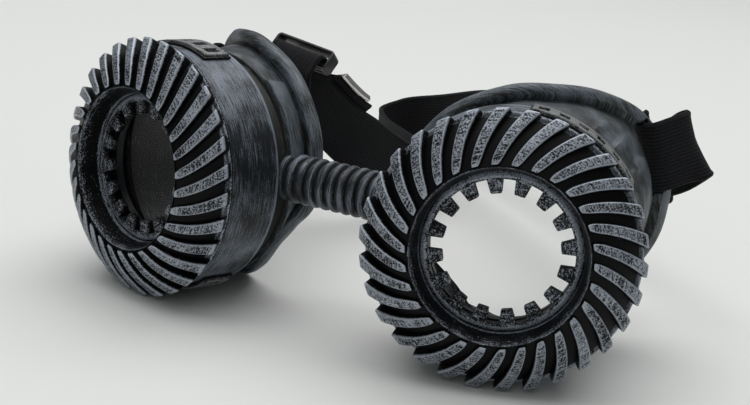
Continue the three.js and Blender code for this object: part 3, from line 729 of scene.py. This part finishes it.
def cutAway(piece, cutters):  # boolean cuts, then the cutters go
    for cutter in cutters:
        change = piece.modifiers.new("cut", "BOOLEAN")
        change.operation, change.solver, change.object = "DIFFERENCE", "EXACT", cutter
    bpy.context.view_layer.update()
    cut = piece.evaluated_get(bpy.context.evaluated_depsgraph_get())
    mesh = bpy.data.meshes.new_from_object(cut)
    piece.modifiers.clear()
    piece.data = mesh
    for cutter in cutters:
        bpy.data.objects.remove(cutter)


def makeCups():
    for label, side in sides.items():
        place = tableMatrix() @ cupMatrix(side) @ rollMatrix(side)
        piece = finishMesh(cupShape(), f"cup_{label}", place, cupFinish, 40)
        size = (strap["thickness"] + 2 * slot["facePlay"], 16, strap["width"] + 2 * slot["edgePlay"])
        cutter = finishMesh(block(size, slot["bevel"]), "slot_cutter", place @ slotMatrix(), cupFinish)
        cutAway(piece, [cutter])
        settle(piece, "cup", f"eye_cup_{label}")
    print("eye cups made")


makeCups()


# The ribbed bridge

bridge = {
    "radius": 6.8, "bore": 4.6, "ribs": 12, "pitch": 3.15, "groove": 1.35, "behind": 17.0, "above": 1.4,
    "steps": 72, "silver": {"crown": 0.36, "groove": -0.3},
    "rib": [(0.0, 0.0), (0.13, 0.06), (0.19, 0.45), (0.29, 0.8), (0.42, 0.97), (0.56, 1.0), (0.7, 0.92),
            (0.82, 0.7), (0.9, 0.35), (0.95, 0.06)],  # along it and up it, in shares of pitch and groove
}


def cupEnvelope(side):
    clear = 0.15
    rear = cup["coneRear"] + cup["beadDepth"]
    profile = [(0.01, 0), (barrel["radius"] + clear, 0), (barrel["radius"] + clear, barrel["rear"] + clear),
               (cup["neck"] + clear, barrel["rear"] + clear), (cup["neck"] + clear, cup["coneFront"] - clear),
               (cup["cone"] + clear, cup["coneFront"] - clear)]
    profile += [(mix(cup["cone"], cup["rim"] - cup["bead"], k / 6) + cup["panelRise"] + clear,
                 mix(cup["coneFront"], cup["coneRear"] - 0.6, k / 6)) for k in range(1, 7)]
    profile += [(cup["rim"] + clear, cup["coneRear"] - 0.8), (cup["rim"] + clear, rear), (0.01, rear)]
    bm = spinProfile(profile, 96)
    for vert in bm.verts:
        if polar(vert.co)[0] > 1:
            hug(vert)
    place = tableMatrix() @ cupMatrix(side) @ rollMatrix(side)
    return finishMesh(bm, "envelope", place, cupFinish)


def makeBridge():
    half = bridge["ribs"] * bridge["pitch"] / 2
    low, top = bridge["radius"] - bridge["groove"], bridge["radius"]
    profile = [(bridge["bore"], -half)]
    for k in range(bridge["ribs"]):
        start = -half + k * bridge["pitch"]
        for at, height in bridge["rib"]:
            profile.append((mix(low, top, height), start + at * bridge["pitch"]))
    profile += [(low, half), (bridge["bore"], half)]
    bm = spinProfile(profile, bridge["steps"], axis=(1, 0, 0))
    layer, silver = bm.verts.layers.float.new("silver"), bridge["silver"]
    for vert in bm.verts:
        reach = math.hypot(vert.co.y, vert.co.z)
        vert[layer] = silver["crown"] * smooth(low + 0.7, top, reach) \
            + silver["groove"] * (1 - smooth(low, low + 0.7, reach))
    uv = bm.loops.layers.uv.new("brush")
    for face in bm.faces:
        centre = face.calc_center_median()
        middle = math.atan2(centre.z, centre.y)
        for loop in face.loops:
            angle = math.atan2(loop.vert.co.z, loop.vert.co.y)
            turn = (angle - middle + math.pi) % math.tau - math.pi
            loop[uv].uv = ((middle + turn) * top, loop.vert.co.x)
    bmesh.ops.translate(bm, vec=(0, bridge["behind"], heelHeight + bridge["above"]), verts=bm.verts)
    piece = finishMesh(bm, "ribbed_bridge", tableMatrix(), barrelFinish, 50)
    cutAway(piece, [cupEnvelope(-1), cupEnvelope(1)])
    settle(piece, "gear", "bridge_tube")
    print("bridge made")


makeBridge()


# The strap

strapLoop = [  # a loop through the rim, from its inner end: mm from the slot, and degrees of lean
    {"outward": 6.6, "behind": 9.2, "up": 0, "lean": 0},
    {"outward": 1.6, "behind": 6.4, "up": 0, "lean": 0},
    {"outward": 0, "behind": 2.2, "up": 0, "lean": 0},
    {"outward": 1.6, "behind": -2.1, "up": 0, "lean": 0},
    {"outward": 7, "behind": -2.8, "up": 0, "lean": 4},
    {"outward": 13.4, "behind": -1.8, "up": -0.5, "lean": 10},
    {"outward": 15.4, "behind": 2.2, "up": -2, "lean": 10},
    {"outward": 14.5, "behind": 7, "up": -5, "lean": 0},
    {"outward": 12, "behind": 12, "up": -8, "lean": -16},
]
loopShape = {-1: {"stretch": 0.7, "drop": 0.6}, 1: {"stretch": 1, "drop": 1}}
upright = (0, 0, 1)
strapRun = [  # the middle line's places on the table, then the way the strap's width points there
    ((-63.5, 79, 44.5), (0.5, -0.65, 0.55)), ((-58.5, 81.5, 47), (0.9, -0.35, 0.1)),
    ((-58.3, 81.2, 53), (0.97, -0.2, -0.1)), ((-57.8, 85.8, 58), (0.97, -0.17, -0.12)),
    ((-57.8, 91, 54.4), (0.97, -0.12, -0.07)), ((-59, 92.8, 49.3), (0.96, -0.05, 0.05)),
    ((-57.3, 94.3, 43.3), (0.9, 0, 0.3)), ((-51.1, 99, 34.4), (0.7, 0, 0.7)),
    ((-44.4, 108, 25.6), (0.2, 0, 0.98)), ((-39, 121, 17), (0.05, 0, 1)),
    ((-34.3, 131, 11.5), upright), ((-31.5, 139, 10), upright), ((-38, 147, 10), upright),
    ((-55, 161, 10), upright), ((-70, 175, 10), upright), ((-77, 186, 11), upright),
    ((-71, 196, 13.5), upright), ((-54, 191, 18.5), upright), ((-26, 171, 28), upright),
    ((4, 145, 34), upright), ((36, 116, 37), upright), ((56, 98, 40.5), upright),
]


def loopRows(side):
    shape = loopShape[side]
    place = cupMatrix(side) @ rollMatrix(side) @ slotMatrix()
    rows = []
    for row in strapLoop:
        lean = math.radians(row["lean"])
        width = place.to_3x3() @ Vector((-math.sin(lean), 0, math.cos(lean)))
        spot = Vector((row["outward"] * shape["stretch"], row["behind"], row["up"] * shape["drop"]))
        rows.append((place @ spot, width.normalized()))
    return rows


strapSamples = 1200  # points at which the middle line is measured
leastStep = 0.01  # two points nearer than this count as one
directionStep = 0.0004  # how far to each side the strap's direction is taken, as a share of its curve


def spaced(a, b):
    return (b - a).length ** 0.5


def curveThrough(points, share):  # centripetal Catmull-Rom through open points
    place = share * (len(points) - 1)
    k = min(int(place), len(points) - 2)
    t = place - k
    b, c = points[k], points[k + 1]
    a = points[k - 1] if k else 2 * b - c
    d = points[k + 2] if k + 2 < len(points) else 2 * c - b
    one = spaced(b, c)
    if one < leastStep:
        one = 1.0
    before, after = spaced(a, b), spaced(c, d)
    before = before if before >= leastStep else one
    after = after if after >= leastStep else one
    inTangent = ((b - a) / before - (c - a) / (before + one) + (c - b) / one) * one
    outTangent = ((c - b) / one - (d - b) / (one + after) + (d - c) / after) * one
    return b + inTangent * t + (3 * (c - b) - 2 * inTangent - outTangent) * t * t + \
        (2 * (b - c) + inTangent + outTangent) * t ** 3


def strapPath():
    rows = loopRows(-1) + [(Vector(p), Vector(w)) for p, w in strapRun] + loopRows(1)[::-1]
    points, widths = [p for p, w in rows], [w for p, w in rows]
    samples, lengths = [], [0.0]
    for k in range(strapSamples + 1):
        samples.append(curveThrough(points, k / strapSamples))
        if k:
            lengths.append(lengths[-1] + (samples[k] - samples[k - 1]).length)
    return points, widths, lengths


strapPoints, strapWidths, strapLengths = strapPath()
strapLength = strapLengths[-1]


def strapAt(share):  # the strap's middle line: place, direction, width and face directions
    target = min(1.0, max(0.0, share)) * strapLength
    low, high = 0, strapSamples
    while high - low > 1:
        middle = (low + high) // 2
        low, high = (middle, high) if strapLengths[middle] <= target else (low, middle)
    step = strapLengths[high] - strapLengths[low]
    u = (low + (target - strapLengths[low]) / step) / strapSamples
    place = curveThrough(strapPoints, u)
    ahead, back = min(1, u + directionStep), max(0, u - directionStep)
    along = curveThrough(strapPoints, ahead) - curveThrough(strapPoints, back)
    along.normalize()
    width = curveThrough(strapWidths, u)
    width = (width - along * width.dot(along)).normalized()
    return place, along, width, width.cross(along)


webbing = {"edge": 0.8, "middle": 0.66, "selvedge": 1.3, "step": 1.1}


def webbingSection(width):  # a flat band with rounded, slightly thicker edges: across and thick, in mm
    half = width / 2
    lift, flat, lip = webbing["edge"], webbing["middle"], webbing["selvedge"]
    side = [(-half, 0.0), (-half + 0.2, 0.5 * lift), (-half + 0.55, lift), (-half + lip, lift),
            (-half + lip + 0.3, flat)]
    side += [(mix(-half + 2, half - 2, k / 8), flat) for k in range(9)]
    side += [(half - lip - 0.3, flat), (half - lip, lift), (half - 0.55, lift), (half - 0.2, 0.5 * lift)]
    return side + [(half, 0.0)] + [(a, -t) for a, t in side[:0:-1]]


def bandShape(start, end, width, behind=0.0, above=0.0):
    section = webbingSection(width)
    steps = max(8, round((end - start) * strapLength / webbing["step"]))
    bm = bmesh.new()
    bmesh.ops.create_grid(bm, x_segments=steps, y_segments=len(section), size=0.5)
    uv = bm.loops.layers.uv.new("band")
    spots = {}
    for vert in bm.verts:
        i, j = round((vert.co.x + 0.5) * steps), round((vert.co.y + 0.5) * len(section))
        spots[vert] = (i, j)
    for face in bm.faces:
        for loop in face.loops:
            i, j = spots[loop.vert]
            loop[uv].uv = (i / steps * (end - start) * strapLength, section[j % len(section)][0])
    frames = [strapAt(mix(start, end, i / steps)) for i in range(steps + 1)]
    for vert, (i, j) in spots.items():
        place, _, wide, face = frames[i]
        across, thick = section[j % len(section)]
        vert.co = place + wide * (across + above) + face * (thick + behind)
    bmesh.ops.remove_doubles(bm, verts=bm.verts, dist=0.01)
    ends = [e for e in bm.edges if e.is_boundary]
    bmesh.ops.holes_fill(bm, edges=ends, sides=0)
    bmesh.ops.recalc_face_normals(bm, faces=bm.faces)
    return bm


tail = {"from": 0.157, "to": 0.217, "above": 2.4, "behind": 1.9}


def makeStrap():
    band = finishMesh(bandShape(0, 1, strap["width"]), "elastic_strap", tableMatrix(), elasticFinish, 60)
    settle(band, "webbing", "strap")
    end = bandShape(tail["from"], tail["to"], strap["width"], tail["behind"], tail["above"])
    end = finishMesh(end, "elastic_strap_end", tableMatrix(), elasticFinish, 60)
    settle(end, "webbing", "strap_tail")
    print("strap made")


makeStrap()


# The sliders and the adjuster

slider = {"length": 5.0, "border": 1.0, "wall": 1.1, "edgePlay": 0.5, "facePlay": 1.5, "corner": 1.5,
          "bevel": 0.35, "at": {"left": 0.144, "right": 0.888}, "grip": (0.8, 0.5), "gripBevel": 0.22}


def framePlace(share, behind=0.0, above=0.0):
    place, along, wide, face = strapAt(share)
    turn = Matrix((along, face, wide)).transposed().to_4x4()
    return Matrix.Translation(place + face * behind + wide * above) @ turn


def sliderShape():
    depth = strap["thickness"] + 2 * (slider["facePlay"] + slider["wall"])
    height = strap["width"] + 2 * (slider["edgePlay"] + slider["border"])
    bm = bmesh.new()
    bmesh.ops.create_cube(bm, size=1)
    bmesh.ops.scale(bm, vec=(slider["length"], depth, height), verts=bm.verts)
    long = [e for e in bm.edges if abs(e.verts[0].co.x - e.verts[1].co.x) > 1]
    bevelEdges(bm, long, slider["corner"], 5)
    ends = [f for f in bm.faces if abs(f.normal.x) > 0.9]
    bmesh.ops.inset_individual(bm, faces=ends, thickness=slider["border"])
    edges = [e for f in ends for e in f.edges]
    bmesh.ops.delete(bm, geom=ends, context="FACES_ONLY")
    bmesh.ops.bridge_loops(bm, edges=edges)
    bmesh.ops.recalc_face_normals(bm, faces=bm.faces)
    bevelEdges(bm, [e for e in bm.edges if e.calc_face_angle(0) > 1], slider["bevel"], 3)
    for at in (-0.2, 0.2):  # grip ridges on both faces
        for turn in (-1, 1):
            grip = block((*slider["grip"], height - 4), slider["gripBevel"])
            place = (at * slider["length"], turn * (depth / 2 + 0.05), 0)
            bmesh.ops.translate(grip, vec=place, verts=grip.verts)
            addMesh(bm, grip)
    return bm


adjuster = {"from": 0.168, "to": 0.21, "bar": 1.4, "depth": 2.7, "sheet": 0.8, "play": 0.3,
            "endShare": 0.008, "endInset": 0.0005}


def barAlong(start, end, wide, thick, behind, above):  # a rounded bar that follows the strap
    length = (end - start) * strapLength
    bm = block((length, thick, wide), min(0.6, thick * 0.45), segments=4, cuts=10)
    for vert in bm.verts:
        share = mix(start, end, vert.co.x / length + 0.5)
        place, _, across, face = strapAt(share)
        vert.co = place + face * (vert.co.y + behind) + across * (vert.co.z + above)
    bmesh.ops.recalc_face_normals(bm, faces=bm.faces)
    return bm


def makeHardware():
    for label, share in slider["at"].items():
        place = tableMatrix() @ framePlace(share)
        piece = finishMesh(sliderShape(), f"strap_slider_{label}", place, nylonFinish)
        settle(piece, "slider", f"slider_{label}")
    half = strap["width"] / 2 + adjuster["play"] + adjuster["bar"] / 2
    barBehind = tail["behind"] + (adjuster["depth"] - strap["thickness"]) / 2
    plateBehind = barBehind + (adjuster["depth"] - adjuster["sheet"]) / 2
    start, end, inset = adjuster["from"], adjuster["to"], adjuster["endInset"]
    bm = bmesh.new()
    for above in (tail["above"] + half, tail["above"] - half):
        addMesh(bm, barAlong(start, end, adjuster["bar"], adjuster["depth"], barBehind, above))
    for first in (start + inset, end - adjuster["endShare"] - inset):
        addMesh(bm, barAlong(first, first + adjuster["endShare"], 2 * half, adjuster["sheet"], plateBehind,
                             tail["above"]))
    piece = finishMesh(bm, "metal_adjuster", tableMatrix(), steelFinish)
    settle(piece, "metal", "adjuster")
    print("sliders and adjuster made")


makeHardware()


# Table, light and camera

studio = {
    "table": "#e4e5e2", "world": "#c9ccd0", "worldStrength": 0.3, "aim": (0, -0.03, 0.02),
    "lamps": [{"name": "overhead", "at": (-0.1, 0.2, 1.15), "size": 1.7, "power": 18.6},
              {"name": "front_fill", "at": (0.35, -1.1, 0.8), "size": 0.8, "power": 1.8}],
}
view = {"azimuth": 27.0, "elevation": 15.7, "roll": 5.1, "distance": 408.0, "target": (18.0, 0.0, 5.0),
        "lens": 76.8, "sensor": 36.0}


def makeStudio():
    bm = bmesh.new()
    bmesh.ops.create_grid(bm, x_segments=8, y_segments=8, size=2.5)
    material, *_ = newMaterial("paleLaminate", {
        "Base Color": hexColor(studio["table"]), "Roughness": 0.62, "IOR": 1.45})
    table = finishMesh(bm, "table", Matrix.Identity(4), material)
    world = bpy.data.worlds.new("studio")
    bpy.context.scene.world = world
    world.use_nodes = True
    background = world.node_tree.nodes["Background"]
    background.inputs["Color"].default_value = hexColor(studio["world"])
    background.inputs["Strength"].default_value = studio["worldStrength"]
    for row in studio["lamps"]:
        lamp = bpy.data.lights.new(row["name"], "AREA")
        lamp.shape, lamp.size, lamp.energy = "SQUARE", row["size"], row["power"]
        holder = bpy.data.objects.new(row["name"], lamp)
        bpy.context.scene.collection.objects.link(holder)
        holder.location = row["at"]
        aim = Vector(studio["aim"]) - holder.location
        holder.rotation_euler = aim.to_track_quat("-Z", "Y").to_euler()


def makeCamera():
    a, e, roll = (math.radians(view[k]) for k in ("azimuth", "elevation", "roll"))
    back = Vector((math.sin(a) * math.cos(e), -math.cos(a) * math.cos(e), math.sin(e)))
    place = Vector(view["target"]) + back * view["distance"] + Vector((0, 0, heelHeight)) + origin
    level = (-back).cross(Vector((0, 0, 1))).normalized()
    plumb = level.cross(-back)
    right = math.cos(roll) * level + math.sin(roll) * plumb
    up = -math.sin(roll) * level + math.cos(roll) * plumb
    camera = bpy.data.cameras.new("camera")
    camera.lens, camera.sensor_width = view["lens"], view["sensor"]
    camera.clip_start, camera.clip_end = 0.01, 20
    holder = bpy.data.objects.new("camera", camera)
    bpy.context.scene.collection.objects.link(holder)
    holder.matrix_world = Matrix.Translation(place * mm) @ Matrix((right, up, back)).transposed().to_4x4()
    bpy.context.scene.camera = holder
    bpy.context.scene.view_settings.view_transform = "Standard"


makeStudio()
makeCamera()
print("studio made")
